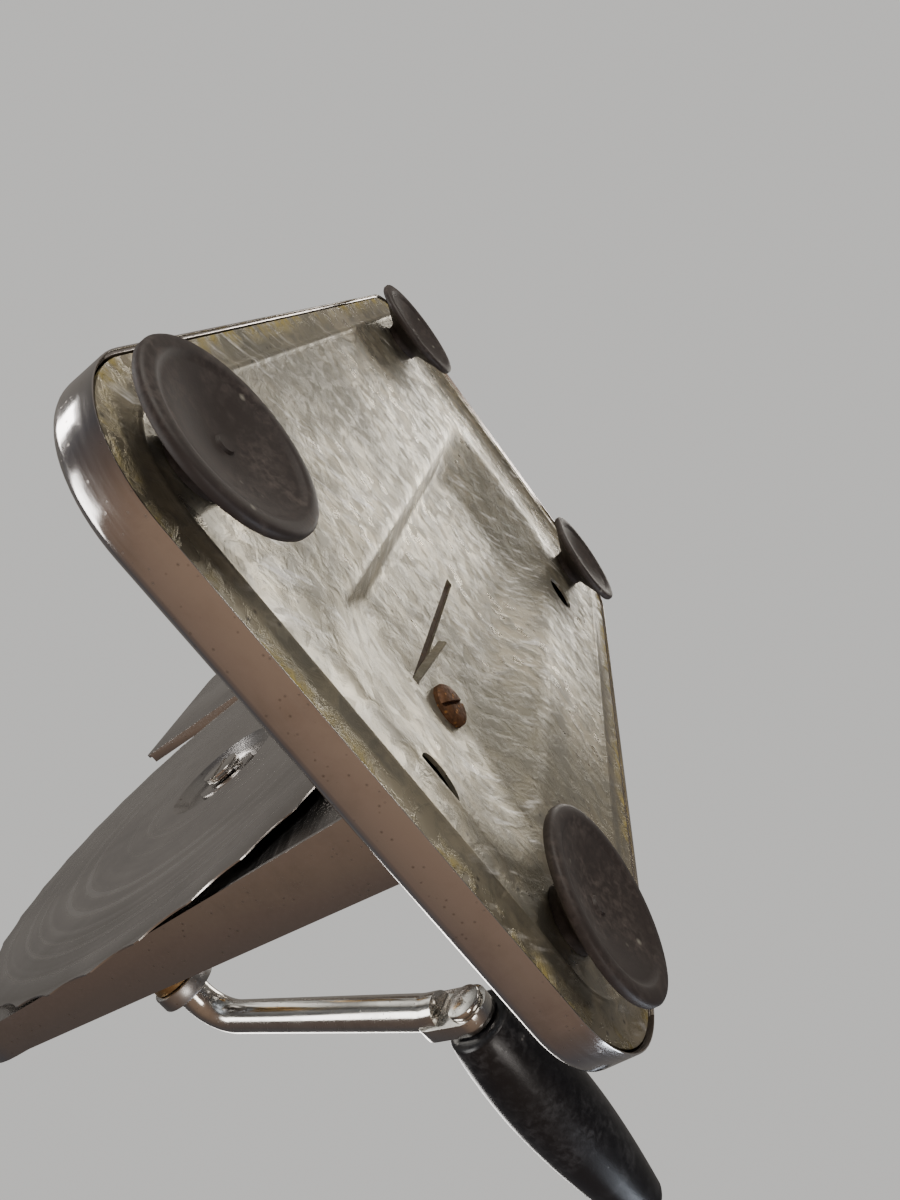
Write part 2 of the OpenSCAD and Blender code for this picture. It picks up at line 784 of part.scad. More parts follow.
// The tray and its fence are one folded sheet.
module tray() {
    color("gainsboro")
        difference() {
            union() {
                translate([tray_left, tray_y, tray_top - tray_t])
                    cube([tray_right - tray_left, tray_l, tray_t]);
                translate([tray_left, tray_y, tray_top - tray_t])
                    cube([tray_right - tray_left, fence_t, tray_t + fence_h]);
            }
            for (y = [0, 1])
                translate([rail_x, tray_y + 30 + 26 * y, tray_top - tray_t - 1])
                    cylinder(r = post_screw_r + run, h = tray_t + 2);
        }
}

module carriage_slider() {
    low = rail_z - rail_r - 3;
    color("darkgray")
        difference() {
            translate([rail_x - slider_w / 2, tray_y + 18, low])
                cube([slider_w, slider_l, tray_top - tray_t - low]);
            translate([rail_x, tray_y + 17, rail_z]) bar_along_y(rail_r + run, slider_l + 2);
            for (y = [0, 1])
                translate([rail_x, tray_y + 30 + 26 * y, tray_top - tray_t - 4])
                    cylinder(r = post_screw_r + run, h = 6);
        }
}

module tray_glide() {
    color("ivory")
        translate([tray_right - 10, tray_y + 24, top_z + slip])
            cube([7, 46, tray_rise - tray_t - slip]);
}

module tray_screws() {
    color("gray")
        for (y = [0, 1])
            translate([rail_x, tray_y + 30 + 26 * y, tray_top]) {
                difference() {
                    cylinder(r = 3, h = 1.6);
                    translate([-3, -0.4, 0.8]) cube([6, 0.8, 2]);
                }
                translate([0, 0, -tray_t - 3]) cylinder(r = post_screw_r, h = tray_t + 3);
            }
}

module pusher_brackets() {
    color("darkgray")
        for (x = [tray_left, tray_right - 6])
            difference() {
                translate([x, tray_y + fence_t, arm_z - 8]) cube([6, 16, 16]);
                translate([x - 1, pusher_rod_y, arm_z]) bar_along_x(pusher_rod_r, 8);
            }
}

module pusher_rod() {
    color("silver")
        translate([tray_left, pusher_rod_y, arm_z])
            bar_along_x(pusher_rod_r, tray_right - tray_left);
}

module pusher_block() {
    color("darkgray")
        difference() {
            translate([pusher_x, tray_y + fence_t + slip, arm_z - 9]) cube([pusher_block_w, 17, 18]);
            translate([pusher_x - 1, pusher_rod_y, arm_z]) bar_along_x(pusher_rod_r + run, 20);
            translate([pusher_x + pusher_block_w / 2, pusher_rod_y, arm_z + 5])
                cylinder(r = post_screw_r + run, h = 6);
        }
}

module pusher_plate() {
    low = tray_top + 2;
    color("gainsboro")
        translate([pusher_x + pusher_block_w, 0, 0]) {
            translate([0, tray_y + fence_t + 1 + pusher_l / 2, low + pusher_h / 2])
                sheet_yz(pusher_plate_t) polygon(outline(box_points(pusher_l, pusher_h), [4, 8, 14, 4]));
            translate([0, tray_y + fence_t + 1, low + pusher_h - 10])
                difference() {
                    cube([pusher_plate_t, 16.3, arm_z + 9 - low - pusher_h + 10]);
                    translate([-1, pusher_rod_y - tray_y - fence_t - 1, arm_z - low - pusher_h + 10])
                        bar_along_x(pusher_rod_r + slip, 8);
                }
        }
}

module pusher_knob() {
    color("#1c1c1e")
        translate([pusher_x + pusher_block_w / 2, pusher_rod_y, arm_z + 9]) {
            rotate_extrude()
                polygon([
                    [0, 0], [5, 0], [5.5, 4], [5, 9], [8, 15], [11, 20], [12, 25], [10.6, 30], [6.5, 33],
                    [0, 34],
                ]);
            translate([0, 0, -3.5]) cylinder(r = post_screw_r, h = 4);
        }
}

base_shell();
bottom_plate();
foot(0);  // foot_rear_left
foot(1);  // foot_rear_right
foot(2);  // foot_front_left
foot(3);  // foot_front_right
base_screws();
upright_front();
foot_bar();
cover_posts();
gear_cover();
cover_screws();
front_bushing();
rear_bushing();
crank_bushing();
blade_shaft();
blade_pinion();
blade();
blade_washer();
blade_screw();
shaft_nut();
crank_arm();
crank_gear();
crank_collar();
handle_pin();
crank_handle();
gauge_plate();
gauge_carrier();
gauge_rods();
gauge_support();
gauge_spindle();
gauge_knob();
carriage_rail();
rail_posts();
rail_screws();
tray();
carriage_slider();
tray_glide();
tray_screws();
pusher_brackets();
pusher_rod();
pusher_block();
pusher_plate();
pusher_knob();
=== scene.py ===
import json
import math

import bmesh
import bpy
from mathutils import Matrix, Vector


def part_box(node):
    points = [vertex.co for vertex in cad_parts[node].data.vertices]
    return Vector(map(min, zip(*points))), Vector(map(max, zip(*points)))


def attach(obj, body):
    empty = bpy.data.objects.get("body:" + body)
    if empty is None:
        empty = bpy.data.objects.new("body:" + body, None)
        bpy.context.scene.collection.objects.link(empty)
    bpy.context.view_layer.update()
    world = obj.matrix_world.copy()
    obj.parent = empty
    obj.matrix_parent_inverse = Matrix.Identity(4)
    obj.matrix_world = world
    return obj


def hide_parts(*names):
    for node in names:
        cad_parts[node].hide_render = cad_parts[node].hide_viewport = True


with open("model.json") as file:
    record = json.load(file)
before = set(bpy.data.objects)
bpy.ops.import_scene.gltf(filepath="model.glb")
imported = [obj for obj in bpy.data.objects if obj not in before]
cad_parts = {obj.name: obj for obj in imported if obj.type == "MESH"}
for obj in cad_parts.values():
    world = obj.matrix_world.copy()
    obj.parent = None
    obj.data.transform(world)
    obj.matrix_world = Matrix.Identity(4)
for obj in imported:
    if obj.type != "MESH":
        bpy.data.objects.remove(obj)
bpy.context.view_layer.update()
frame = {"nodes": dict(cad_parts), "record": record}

# ---------------------------------------------------------------------------
# Camera. It looks at the underside from behind the machine, just below the
# plane of the table.
# ---------------------------------------------------------------------------
right, up, ahead = Vector((0.599, -0.114, -0.793)), Vector((-0.769, -0.358, -0.529)), Vector((0.223, -0.927, 0.302))
bpy.ops.object.camera_add()
camera = bpy.context.object
camera.name = "camera"
camera.matrix_world = Matrix.Translation((-0.0534, 0.2814, -0.0624)) @ Matrix((right, up, -ahead)).transposed().to_4x4()
camera.data.lens = 26.67
camera.data.sensor_width = 36
camera.data.clip_start = 0.01
bpy.context.scene.camera = camera


# ---------------------------------------------------------------------------
# Floor and light. A pale floor at the table's height shows from above only,
# so the machine can be seen from below it too. The softboxes stand round the
# machine and under it, and the room is a soft grey.
# ---------------------------------------------------------------------------
def wire(tree, kind, inputs=None, **settings):
    """A shader node with its settings, its fixed inputs and its links made."""
    made = tree.nodes.new(kind)
    for key, value in settings.items():
        setattr(made, key, value)
    for key, value in (inputs or {}).items():
        if isinstance(value, bpy.types.NodeSocket):
            tree.links.new(value, made.inputs[key])
        else:
            made.inputs[key].default_value = value
    return made


def mixed(tree, factor, first, second):
    """Two colours mixed by a factor."""
    made = wire(tree, "ShaderNodeMix", {"Factor": factor, "A": first, "B": second}, data_type="RGBA")
    return made.outputs["Result"]


def blank(name):
    """A new material's node tree, with only its output in it."""
    made = bpy.data.materials.new(name)
    made.use_nodes = True
    made.node_tree.nodes.clear()
    return made, made.node_tree


bpy.ops.mesh.primitive_plane_add(size=14, location=(0, 0, 0))
floor = bpy.context.object
floor.name = "floor"
paper, tree = blank("pale_paper")
place = wire(tree, "ShaderNodeTexCoord").outputs["Object"]
cloud = wire(tree, "ShaderNodeTexNoise", {"Vector": place, "Scale": 3.0, "Detail": 2.0}).outputs[0]
tint = mixed(tree, cloud, (0.78, 0.77, 0.75, 1), (0.82, 0.815, 0.8, 1))
face = wire(tree, "ShaderNodeBsdfPrincipled", {"Base Color": tint, "Roughness": 0.85})
clear = wire(tree, "ShaderNodeBsdfTransparent")
side = wire(tree, "ShaderNodeNewGeometry").outputs["Backfacing"]
both = wire(tree, "ShaderNodeMixShader", {0: side, 1: face.outputs[0], 2: clear.outputs[0]})
wire(tree, "ShaderNodeOutputMaterial", {"Surface": both.outputs[0]})
floor.data.materials.append(paper)
floor.visible_shadow = False
floor.visible_diffuse = False
floor.visible_glossy = False
floor.visible_transmission = False


def softbox(name, at, towards, size, watts, tone):
    """A square area light that faces a point."""
    bpy.ops.object.light_add(type="AREA", location=at)
    lamp = bpy.context.object
    lamp.name = name
    lamp.data.size = size
    lamp.data.energy = watts
    lamp.data.color = tone
    lamp.rotation_mode = "QUATERNION"
    lamp.rotation_quaternion = (Vector(towards) - Vector(at)).to_track_quat("-Z", "Y")


softbox("key_below", (-0.8, -0.1, -0.8), (0, 0, 0.02), 0.6, 8, (1.0, 0.95, 0.86))
softbox("front_below", (0.28, -1.3, -0.08), (0, 0, 0.02), 0.55, 6, (1.0, 0.95, 0.87))
softbox("left_above", (-1.0, -0.16, 0.62), (0, 0, 0.05), 0.3, 3, (1.0, 0.98, 0.96))
softbox("right_low", (1.1, 0.35, 0.0), (0, 0, 0.08), 0.4, 4, (0.80, 0.88, 1.0))
softbox("back_below", (0.3, 1.1, -0.45), (0, 0, 0.05), 0.35, 3, (1.0, 0.95, 0.9))
softbox("key_above", (-0.8, 0.7, 1.1), (0, 0, 0.1), 0.7, 9, (1.0, 0.99, 0.97))
softbox("fill_above", (0.8, -0.6, 1.0), (0, 0, 0.1), 0.6, 7, (1.0, 0.97, 0.94))

world = bpy.data.worlds.new("room")
bpy.context.scene.world = world
world.use_nodes = True
tree = world.node_tree
tree.nodes.clear()
look = wire(tree, "ShaderNodeTexCoord").outputs["Generated"]
along = wire(tree, "ShaderNodeSeparateXYZ", {0: look}).outputs["Y"]
rise = wire(tree, "ShaderNodeMapRange", {"Value": along, "From Min": -1.0, "From Max": 1.0}).outputs[0]
ramp = wire(tree, "ShaderNodeValToRGB", {"Fac": rise})
ramp.color_ramp.elements[0].color = (0.30, 0.275, 0.25, 1)
ramp.color_ramp.elements[1].color = (0.34, 0.235, 0.17, 1)
for at, tone in ((0.3, (0.17, 0.16, 0.15, 1)), (0.55, (0.10, 0.095, 0.10, 1)), (0.8, (0.16, 0.12, 0.10, 1))):
    ramp.color_ramp.elements.new(at).color = tone
sky = wire(tree, "ShaderNodeBackground", {"Color": ramp.outputs[0], "Strength": 0.8})
wall = wire(tree, "ShaderNodeBackground", {"Color": (0.72, 0.71, 0.69, 1), "Strength": 0.9})
seen = wire(tree, "ShaderNodeLightPath").outputs["Is Camera Ray"]
both = wire(tree, "ShaderNodeMixShader", {0: seen, 1: sky.outputs[0], 2: wall.outputs[0]})
wire(tree, "ShaderNodeOutputWorld", {"Surface": both.outputs[0]})


# ---------------------------------------------------------------------------
# Base shell. A tray of chromed sheet steel, turned over: its top edge is
# rolled round, its skirt is plain, and its raw lower edge is folded in. The
# chrome is pitted and stained by handling. Its inside faces are unplated
# steel made near black, which is painted shade inside the closed base.
# ---------------------------------------------------------------------------
BASE_W, BASE_L, BASE_R = 0.178, 0.305, 0.0305
FOOT_H, SHELL_H, SHELL_T = 0.010, 0.0115, 0.0012
TOP_Z = FOOT_H + SHELL_H
BODY_OF = {node: body for body, nodes in frame["record"]["behaviour"]["bodies"].items() for node in nodes}


def fresh():
    """Back to object mode with nothing selected."""
    if bpy.context.mode != "OBJECT":
        bpy.ops.object.mode_set(mode="OBJECT")
    bpy.ops.object.select_all(action="DESELECT")


def pick(kind, test):
    """In edit mode, selects the vertices, edges or faces that pass the test."""
    mesh = bpy.context.edit_object.data
    bpy.ops.mesh.select_mode(type=kind)
    bpy.ops.mesh.select_all(action="DESELECT")
    shape = bmesh.from_edit_mesh(mesh)
    for part in {"VERT": shape.verts, "EDGE": shape.edges, "FACE": shape.faces}[kind]:
        part.select_set(bool(test(part)))
    bmesh.update_edit_mesh(mesh)


def apply_all(piece):
    """Applies the piece's modifiers and its place."""
    fresh()
    piece.select_set(True)
    bpy.context.view_layer.objects.active = piece
    for step in list(piece.modifiers):
        bpy.ops.object.modifier_apply(modifier=step.name)
    bpy.ops.object.transform_apply(location=True, rotation=True, scale=True)


def finished(piece, name, material, nodes, angle=32):
    """The piece is put on its CAD body, in place of its CAD nodes, with its finish."""
    apply_all(piece)
    piece.name = name
    bpy.ops.object.shade_smooth_by_angle(angle=math.radians(angle))
    piece.data.materials.clear()
    piece.data.materials.append(material)
    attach(piece, BODY_OF[nodes[0]])
    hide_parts(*nodes)
    return piece


def hole(piece, *cutters):
    """Cuts each cutter out of the piece and removes the cutter."""
    for cutter in cutters:
        apply_all(cutter)
        cut = piece.modifiers.new("cut", "BOOLEAN")
        cut.operation = "DIFFERENCE"
        cut.solver = "EXACT"
        cut.object = cutter
        apply_all(piece)
        bpy.data.objects.remove(cutter)


def effect(name, inputs, build):
    """A shader node group. inputs are (name, kind, value); build makes its nodes and returns its outputs."""
    group = bpy.data.node_groups.new(name, "ShaderNodeTree")
    for label, kind, value in inputs:
        made = group.interface.new_socket(label, in_out="INPUT", socket_type="NodeSocket" + kind)
        if value is not None:
            made.default_value = value
    source = group.nodes.new("NodeGroupInput")
    sink_inputs = build(group, source.outputs)
    for label, (kind, _) in sink_inputs.items():
        group.interface.new_socket(label, in_out="OUTPUT", socket_type="NodeSocket" + kind)
    sink = group.nodes.new("NodeGroupOutput")
    for label, (_, socket) in sink_inputs.items():
        group.links.new(socket, sink.inputs[label])
    return group


def placed(tree, group, inputs):
    """One use of an effect in a material."""
    made = wire(tree, "ShaderNodeGroup", node_tree=group)
    for key, value in inputs.items():
        if isinstance(value, bpy.types.NodeSocket):
            tree.links.new(value, made.inputs[key])
        else:
            made.inputs[key].default_value = value
    return made.outputs[0]


def stains_nodes(group, given):
    noise = wire(group, "ShaderNodeTexNoise", {"Vector": given["Vector"], "Scale": given["Scale"], "Detail": 7.0,
                                               "Roughness": 0.62, "Distortion": 0.4})
    mask = wire(group, "ShaderNodeMapRange", {"Value": noise.outputs[0], "From Min": given["Low"],
                                              "From Max": given["High"]})
    return {"Mask": ("Float", mask.outputs[0])}


def brushing_nodes(group, given):
    pulled = wire(group, "ShaderNodeVectorMath", {0: given["Vector"], 1: given["Stretch"]}, operation="MULTIPLY")
    noise = wire(group, "ShaderNodeTexNoise", {"Vector": pulled.outputs[0], "Scale": 1.0, "Detail": 4.0, "Roughness": 0.6})
    mask = wire(group, "ShaderNodeMapRange", {"Value": noise.outputs[0], "From Min": 0.3, "From Max": 0.7})
    return {"Mask": ("Float", mask.outputs[0])}


def specks_nodes(group, given):
    cells = wire(group, "ShaderNodeTexVoronoi", {"Vector": given["Vector"], "Scale": given["Scale"]})
    dot = wire(group, "ShaderNodeMapRange", {"Value": cells.outputs["Distance"], "From Min": given["Size"], "From Max": 0.0})
    pickers = wire(group, "ShaderNodeSeparateColor", {0: cells.outputs["Color"]})
    kept = wire(group, "ShaderNodeMath", {0: pickers.outputs[0], 1: given["Share"]}, operation="LESS_THAN")
    mask = wire(group, "ShaderNodeMath", {0: dot.outputs[0], 1: kept.outputs[0]}, operation="MULTIPLY")
    return {"Mask": ("Float", mask.outputs[0])}


STAINS = effect("stains", [("Vector", "Vector", None), ("Scale", "Float", 30.0), ("Low", "Float", 0.45),
                           ("High", "Float", 0.7)], stains_nodes)
BRUSHING = effect("brushing", [("Vector", "Vector", None), ("Stretch", "Vector", None)], brushing_nodes)
SPECKS = effect("specks", [("Vector", "Vector", None), ("Scale", "Float", 400.0), ("Size", "Float", 0.3),
                           ("Share", "Float", 0.3)], specks_nodes)


def plated(name, clean, dull, rough, stain, pits, grain, grain_depth=0.00001, metallic=1.0, **fixed):
    """A bare or plated metal. rough is (clean, dull); stain is (scale, low, high); pits is (scale, size, share,
    colour); grain is the brushing's stretch along X, Y and Z."""
    made, tree = blank(name)
    place = wire(tree, "ShaderNodeTexCoord").outputs["Object"]
    dirt = placed(tree, STAINS, {"Vector": place, "Scale": stain[0], "Low": stain[1], "High": stain[2]})
    fine = placed(tree, STAINS, {"Vector": place, "Scale": stain[0] * 6, "Low": 0.35, "High": 0.75})
    lines = placed(tree, BRUSHING, {"Vector": place, "Stretch": grain})
    spots = placed(tree, SPECKS, {"Vector": place, "Scale": pits[0], "Size": pits[1], "Share": pits[2]})
    worn = wire(tree, "ShaderNodeMath", {0: dirt, 1: fine}, operation="MULTIPLY").outputs[0]
    tone = mixed(tree, worn, (*clean, 1), (*dull, 1))
    tone = mixed(tree, spots, tone, (*pits[3], 1))
    sheen = wire(tree, "ShaderNodeMapRange", {"Value": worn, "To Min": rough[0], "To Max": rough[1]}).outputs[0]
    brush = wire(tree, "ShaderNodeMath", {0: lines, 1: 0.10, 2: sheen}, operation="MULTIPLY_ADD").outputs[0]
    brush = wire(tree, "ShaderNodeMath", {0: spots, 1: 0.3, 2: brush}, operation="MULTIPLY_ADD").outputs[0]
    relief = wire(tree, "ShaderNodeMath", {0: spots, 1: -3.0, 2: lines}, operation="MULTIPLY_ADD").outputs[0]
    bump = wire(tree, "ShaderNodeBump", {"Height": relief, "Strength": 0.6, "Distance": grain_depth}).outputs[0]
    shader = wire(tree, "ShaderNodeBsdfPrincipled", {"Base Color": tone, "Metallic": metallic, "Roughness": brush,
                                                     "Normal": bump, **fixed})
    wire(tree, "ShaderNodeOutputMaterial", {"Surface": shader.outputs[0]})
    return made


CHROME = plated("chrome_plate", (0.80, 0.77, 0.75), (0.52, 0.46, 0.42), (0.07, 0.24), (26, 0.42, 0.68),
                (900, 0.34, 0.16, (0.30, 0.24, 0.19)), (60, 60, 900), 0.000006)
# Inside of the shell: unplated steel made near black, painted shade for the dark gap between the skirt and the bottom
# plate.
DARK_INSIDE_PAINTED_SHADE = plated("unplated_steel_and_painted_shade", (0.10, 0.075, 0.055), (0.05, 0.035, 0.025), (0.6, 0.8), (60, 0.4, 0.66),
                     (700, 0.4, 0.3, (0.2, 0.1, 0.05)), (200, 200, 200), 0.00004, metallic=0.3)

fresh()
bpy.ops.mesh.primitive_cube_add(size=1, location=(0, 0, FOOT_H + SHELL_H / 2), scale=(BASE_W, BASE_L, SHELL_H))
shell = bpy.context.object
apply_all(shell)
bpy.ops.object.mode_set(mode="EDIT")
pick("EDGE", lambda e: abs(e.verts[0].co.z - e.verts[1].co.z) > 0.001)
bpy.ops.mesh.bevel(offset=BASE_R, segments=20, affect="EDGES")
pick("FACE", lambda f: f.normal.z < -0.9)
bpy.ops.mesh.delete(type="FACE")
pick("EDGE", lambda e: all(v.co.z > TOP_Z - 0.0001 for v in e.verts) and not e.is_boundary)
bpy.ops.mesh.bevel(offset=0.003, segments=6, affect="EDGES")
pick("EDGE", lambda e: e.is_boundary)
bpy.ops.mesh.extrude_edges_move(TRANSFORM_OT_translate={"value": (0, 0, 0)})
inward = (BASE_W - 0.0008) / BASE_W, (BASE_L - 0.0008) / BASE_L, 1
bpy.ops.transform.resize(value=inward, center_override=(0, 0, FOOT_H))
fresh()
wall = shell.modifiers.new("wall", "SOLIDIFY")
wall.thickness = SHELL_T
wall.offset = -1
soft = shell.modifiers.new("soft", "BEVEL")
soft.width = 0.0003
soft.segments = 2
soft.limit_method = "ANGLE"
soft.angle_limit = math.radians(50)
finished(shell, "base_shell_skin", CHROME, ["base_shell"])
shell.data.materials.append(DARK_INSIDE_PAINTED_SHADE)
# The shell's inward faces get the near-black second material: painted shade inside the closed base.
skin = 0.0008
for face in shell.data.polygons:
    at, way = face.center, face.normal
    out = abs(at.x) > BASE_W / 2 - skin or abs(at.y) > BASE_L / 2 - skin or at.z > TOP_Z - skin
    inward = way.z < -0.9 and at.z > FOOT_H + 0.003 or way.x * at.x + way.y * at.y < -0.001
    face.material_index = 1 if inward and not out else 0


# ---------------------------------------------------------------------------
# Bottom plate. Galvanised sheet that closes the base from below. It has a
# raised bead round its edge, a pressed recess that stiffens it, a slot with
# its tongue bent out, and two holes that a screwdriver goes through.
# ---------------------------------------------------------------------------
PLATE_Z, PLATE_T = 0.0108, 0.001
RECESS_AT, RECESS = Vector((0.010, 0.0158)), (0.070, 0.231)
RECESS_RISE, FLOOR, FLOOR_SHIFT = 0.0085, (0.046, 0.148), (-0.005, 0.003)
FLOOR_Z = PLATE_Z + RECESS_RISE
EAR_SCREW, SUPPORT_SCREW = (0.012, 0.1313), (0.0536, -0.0646)


def galvanised():
    """Dull zinc: soft spangle, pale slanting streaks of white bloom, grey water stains and yellow grime at the rim."""
    made, tree = blank("galvanised_sheet")
    place = wire(tree, "ShaderNodeTexCoord").outputs["Object"]
    turned_place = wire(tree, "ShaderNodeMapping", {"Vector": place, "Rotation": (0, 0, math.radians(38))}).outputs[0]
    clouds = placed(tree, STAINS, {"Vector": place, "Scale": 13.0, "Low": 0.35, "High": 0.68})
    mottle = placed(tree, STAINS, {"Vector": place, "Scale": 150.0, "Low": 0.4, "High": 0.62})
    streaks = placed(tree, BRUSHING, {"Vector": turned_place, "Stretch": (80, 330, 200)})
    sharp = wire(tree, "ShaderNodeMapRange", {"Value": streaks, "From Min": 0.62, "From Max": 1.0}).outputs[0]
    drips = placed(tree, STAINS, {"Vector": turned_place, "Scale": 24.0, "Low": 0.48, "High": 0.62})
    bloom = wire(tree, "ShaderNodeMath", {0: sharp, 1: drips}, operation="MULTIPLY").outputs[0]
    spangle = wire(tree, "ShaderNodeTexVoronoi", {"Vector": place, "Scale": 260.0}).outputs["Color"]
    crystal = wire(tree, "ShaderNodeSeparateColor", {0: spangle}).outputs[0]
    dots = placed(tree, SPECKS, {"Vector": place, "Scale": 420.0, "Size": 0.3, "Share": 0.12})
    tone = mixed(tree, clouds, (0.62, 0.55, 0.40, 1), (0.22, 0.215, 0.175, 1))
    soft_mottle = wire(tree, "ShaderNodeMath", {0: mottle, 1: 0.85}, operation="MULTIPLY").outputs[0]
    tone = mixed(tree, soft_mottle, tone, (0.30, 0.285, 0.235, 1))
    tone = mixed(tree, bloom, tone, (0.92, 0.90, 0.86, 1))
    tone = mixed(tree, dots, tone, (0.12, 0.11, 0.10, 1))
    inner = wire(tree, "ShaderNodeVectorMath", {0: place}, operation="ABSOLUTE").outputs[0]
    core = (BASE_W / 2 - BASE_R, BASE_L / 2 - BASE_R, 9)
    past = wire(tree, "ShaderNodeVectorMath", {0: inner, 1: core}, operation="SUBTRACT").outputs[0]
    past = wire(tree, "ShaderNodeVectorMath", {0: past, 1: (0, 0, 0)}, operation="MAXIMUM").outputs[0]
    edge = wire(tree, "ShaderNodeVectorMath", {0: past}, operation="LENGTH").outputs["Value"]
    rim = wire(tree, "ShaderNodeMapRange", {"Value": edge, "From Min": BASE_R - 0.0070,
                                            "From Max": BASE_R - 0.0022}).outputs[0]
    crust = placed(tree, STAINS, {"Vector": place, "Scale": 150.0, "Low": 0.45, "High": 0.62})
    crust = wire(tree, "ShaderNodeMath", {0: crust, 1: rim}, operation="MULTIPLY").outputs[0]
    tone = mixed(tree, crust, tone, (0.46, 0.37, 0.13, 1))
    metal = wire(tree, "ShaderNodeMapRange", {"Value": crust, "To Min": 0.75, "To Max": 0.1}).outputs[0]
    metal = wire(tree, "ShaderNodeMath", {0: bloom, 1: -0.6, 2: metal}, operation="MULTIPLY_ADD").outputs[0]
    sheen = wire(tree, "ShaderNodeMapRange", {"Value": crystal, "To Min": 0.22, "To Max": 0.42}).outputs[0]
    sheen = wire(tree, "ShaderNodeMath", {0: clouds, 1: 0.12, 2: sheen}, operation="MULTIPLY_ADD").outputs[0]
    sheen = wire(tree, "ShaderNodeMath", {0: crust, 1: 0.4, 2: sheen}, operation="MULTIPLY_ADD").outputs[0]
    relief = wire(tree, "ShaderNodeMath", {0: crust, 1: 5.0, 2: mottle}, operation="MULTIPLY_ADD").outputs[0]
    bump = wire(tree, "ShaderNodeBump", {"Height": relief, "Strength": 1.0, "Distance": 0.0001}).outputs[0]
    shader = wire(tree, "ShaderNodeBsdfPrincipled", {"Base Color": tone, "Metallic": metal, "Roughness": sheen,
                                                     "Normal": bump})
    wire(tree, "ShaderNodeOutputMaterial", {"Surface": shader.outputs[0]})
    return made


GALVANISED = galvanised()

fresh()
gap = SHELL_T + 0.0002
bpy.ops.mesh.primitive_plane_add(size=1, location=(0, 0, PLATE_Z))
plate = bpy.context.object
plate.scale = (BASE_W - 2 * gap, BASE_L - 2 * gap, 1)
apply_all(plate)
bpy.ops.object.mode_set(mode="EDIT")
bpy.ops.mesh.select_all(action="SELECT")
bpy.ops.mesh.flip_normals()
bpy.ops.mesh.bevel(offset=BASE_R - gap, segments=20, affect="VERTICES")
for width, drop in ((0.0012, 0.0005), (0.0062, 0), (0.0008, -0.0005), (0.0008, -0.00025), (0.0008, 0.00025),
                    (0.0008, 0.0005)):
    bpy.ops.mesh.inset(thickness=width, depth=0)
    if drop and width != 0.0012:
        bpy.ops.transform.translate(value=(0, 0, drop))
bpy.ops.mesh.delete(type="FACE")
fresh()
bpy.ops.mesh.primitive_plane_add(size=1, location=(*RECESS_AT, PLATE_Z))
pan = bpy.context.object
pan.scale = (*RECESS, 1)
apply_all(pan)
bpy.ops.object.mode_set(mode="EDIT")
bpy.ops.mesh.select_all(action="SELECT")
bpy.ops.mesh.flip_normals()
bpy.ops.mesh.bevel(offset=0.019, segments=20, affect="VERTICES")
bpy.ops.mesh.inset(thickness=0.0002, depth=0)
bpy.ops.transform.resize(value=(FLOOR[0] / RECESS[0], FLOOR[1] / RECESS[1], 1), center_override=(*RECESS_AT, PLATE_Z))
bpy.ops.transform.translate(value=(*FLOOR_SHIFT, RECESS_RISE))
fresh()
plate.select_set(True)
pan.select_set(True)
bpy.context.view_layer.objects.active = plate
bpy.ops.object.join()
bpy.ops.object.mode_set(mode="EDIT")
from_core = lambda v: math.hypot(max(abs(v.co.x) - BASE_W / 2 + BASE_R, 0), max(abs(v.co.y) - BASE_L / 2 + BASE_R, 0))
pick("EDGE", lambda e: e.is_boundary and all(from_core(v) < BASE_R - 0.006 for v in e.verts))
bpy.ops.mesh.bridge_edge_loops()
bpy.ops.mesh.select_all(action="SELECT")
bpy.ops.mesh.remove_doubles(threshold=0.00002)
in_recess = lambda v: all(abs(v.co[k] - RECESS_AT[k]) < RECESS[k] / 2 + 0.0002 for k in (0, 1))
on_lip = lambda v: abs(v.co.z - PLATE_Z) < 0.0001 and in_recess(v)
on_floor = lambda v: v.co.z > FLOOR_Z - 0.0001
pick("EDGE", lambda e: all(on_lip(v) for v in e.verts))
bpy.ops.mesh.bevel(offset=0.003, segments=5, affect="EDGES")
pick("EDGE", lambda e: all(on_floor(v) for v in e.verts))
bpy.ops.mesh.bevel(offset=0.0035, segments=5, affect="EDGES")
bpy.ops.mesh.select_all(action="SELECT")
bpy.ops.mesh.normals_make_consistent(inside=False)
fresh()
if sum(f.normal.z for f in plate.data.polygons) > 0:
    plate.data.flip_normals()
wall = plate.modifiers.new("wall", "SOLIDIFY")
wall.thickness = PLATE_T
wall.offset = -1
apply_all(plate)
cutters = []
for at, radius in ((EAR_SCREW, 0.0062), (SUPPORT_SCREW, 0.007)):
    fresh()
    bpy.ops.mesh.primitive_cylinder_add(vertices=48, radius=radius, depth=0.01, location=(*at, PLATE_Z))
    cutters.append(bpy.context.object)
bpy.ops.object.mode_set(mode="OBJECT")
fresh()
bpy.ops.mesh.primitive_cube_add(size=1, location=(EAR_SCREW[0], RECESS_AT.y + RECESS[1] / 2 + 0.01, PLATE_Z),
                                scale=(0.04, 0.02, 0.03))
hole(cutters[0], bpy.context.object)
fresh()
bpy.ops.mesh.primitive_cube_add(size=1, location=(0.0045, 0.0555, FLOOR_Z), scale=(0.0024, 0.071, 0.012))
cutters.append(bpy.context.object)
hole(plate, *cutters)
fresh()
bpy.ops.mesh.primitive_cube_add(size=1, location=(0.0060, 0.0775, FLOOR_Z - 0.0005),
                                scale=(0.0005, 0.027, 0.0024), rotation=(0.12, -0.6, 0.04))
tongue = bpy.context.object
apply_all(tongue)
fresh()
tongue.select_set(True)
plate.select_set(True)
bpy.context.view_layer.objects.active = plate
bpy.ops.object.join()
finished(plate, "bottom_plate_pan", GALVANISED, ["bottom_plate"], angle=40)


